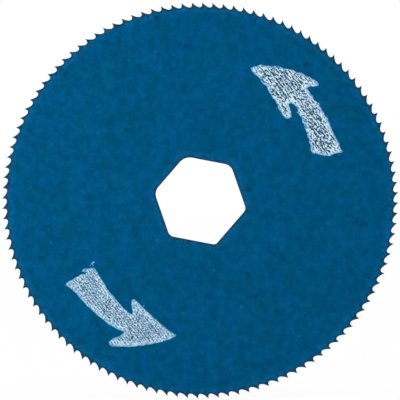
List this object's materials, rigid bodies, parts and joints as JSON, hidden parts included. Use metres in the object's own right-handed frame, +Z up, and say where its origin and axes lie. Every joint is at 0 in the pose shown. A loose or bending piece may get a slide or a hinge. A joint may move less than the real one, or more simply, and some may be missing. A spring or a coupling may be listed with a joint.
{
  "type": "rotary saw blade",
  "caption": "Thin steel saw disc with a finely toothed rim, a hexagonal drive hole, a blue painted finish and printed rotation arrows.",
  "frame": {"origin": "centre of the hex drive hole, halfway through the sheet", "axes": "+Y along the arbor's axis, out of the blade's back face, so the printed front face looks towards -Y; +Z up and +X right in the plane of the disc, as seen from the front. The teeth cut counter-clockwise seen from the front."},
  "size_m": [0.0318, 0.0007, 0.0318],
  "materials": {
    "blue_paint": "satin",
    "white_ink": "matte"
  },
  "bodies": {
    "root": {"blade": "blue_paint", "arrow_mark_upper": "white_ink", "arrow_mark_lower": "white_ink"}
  },
  "joints": []
}
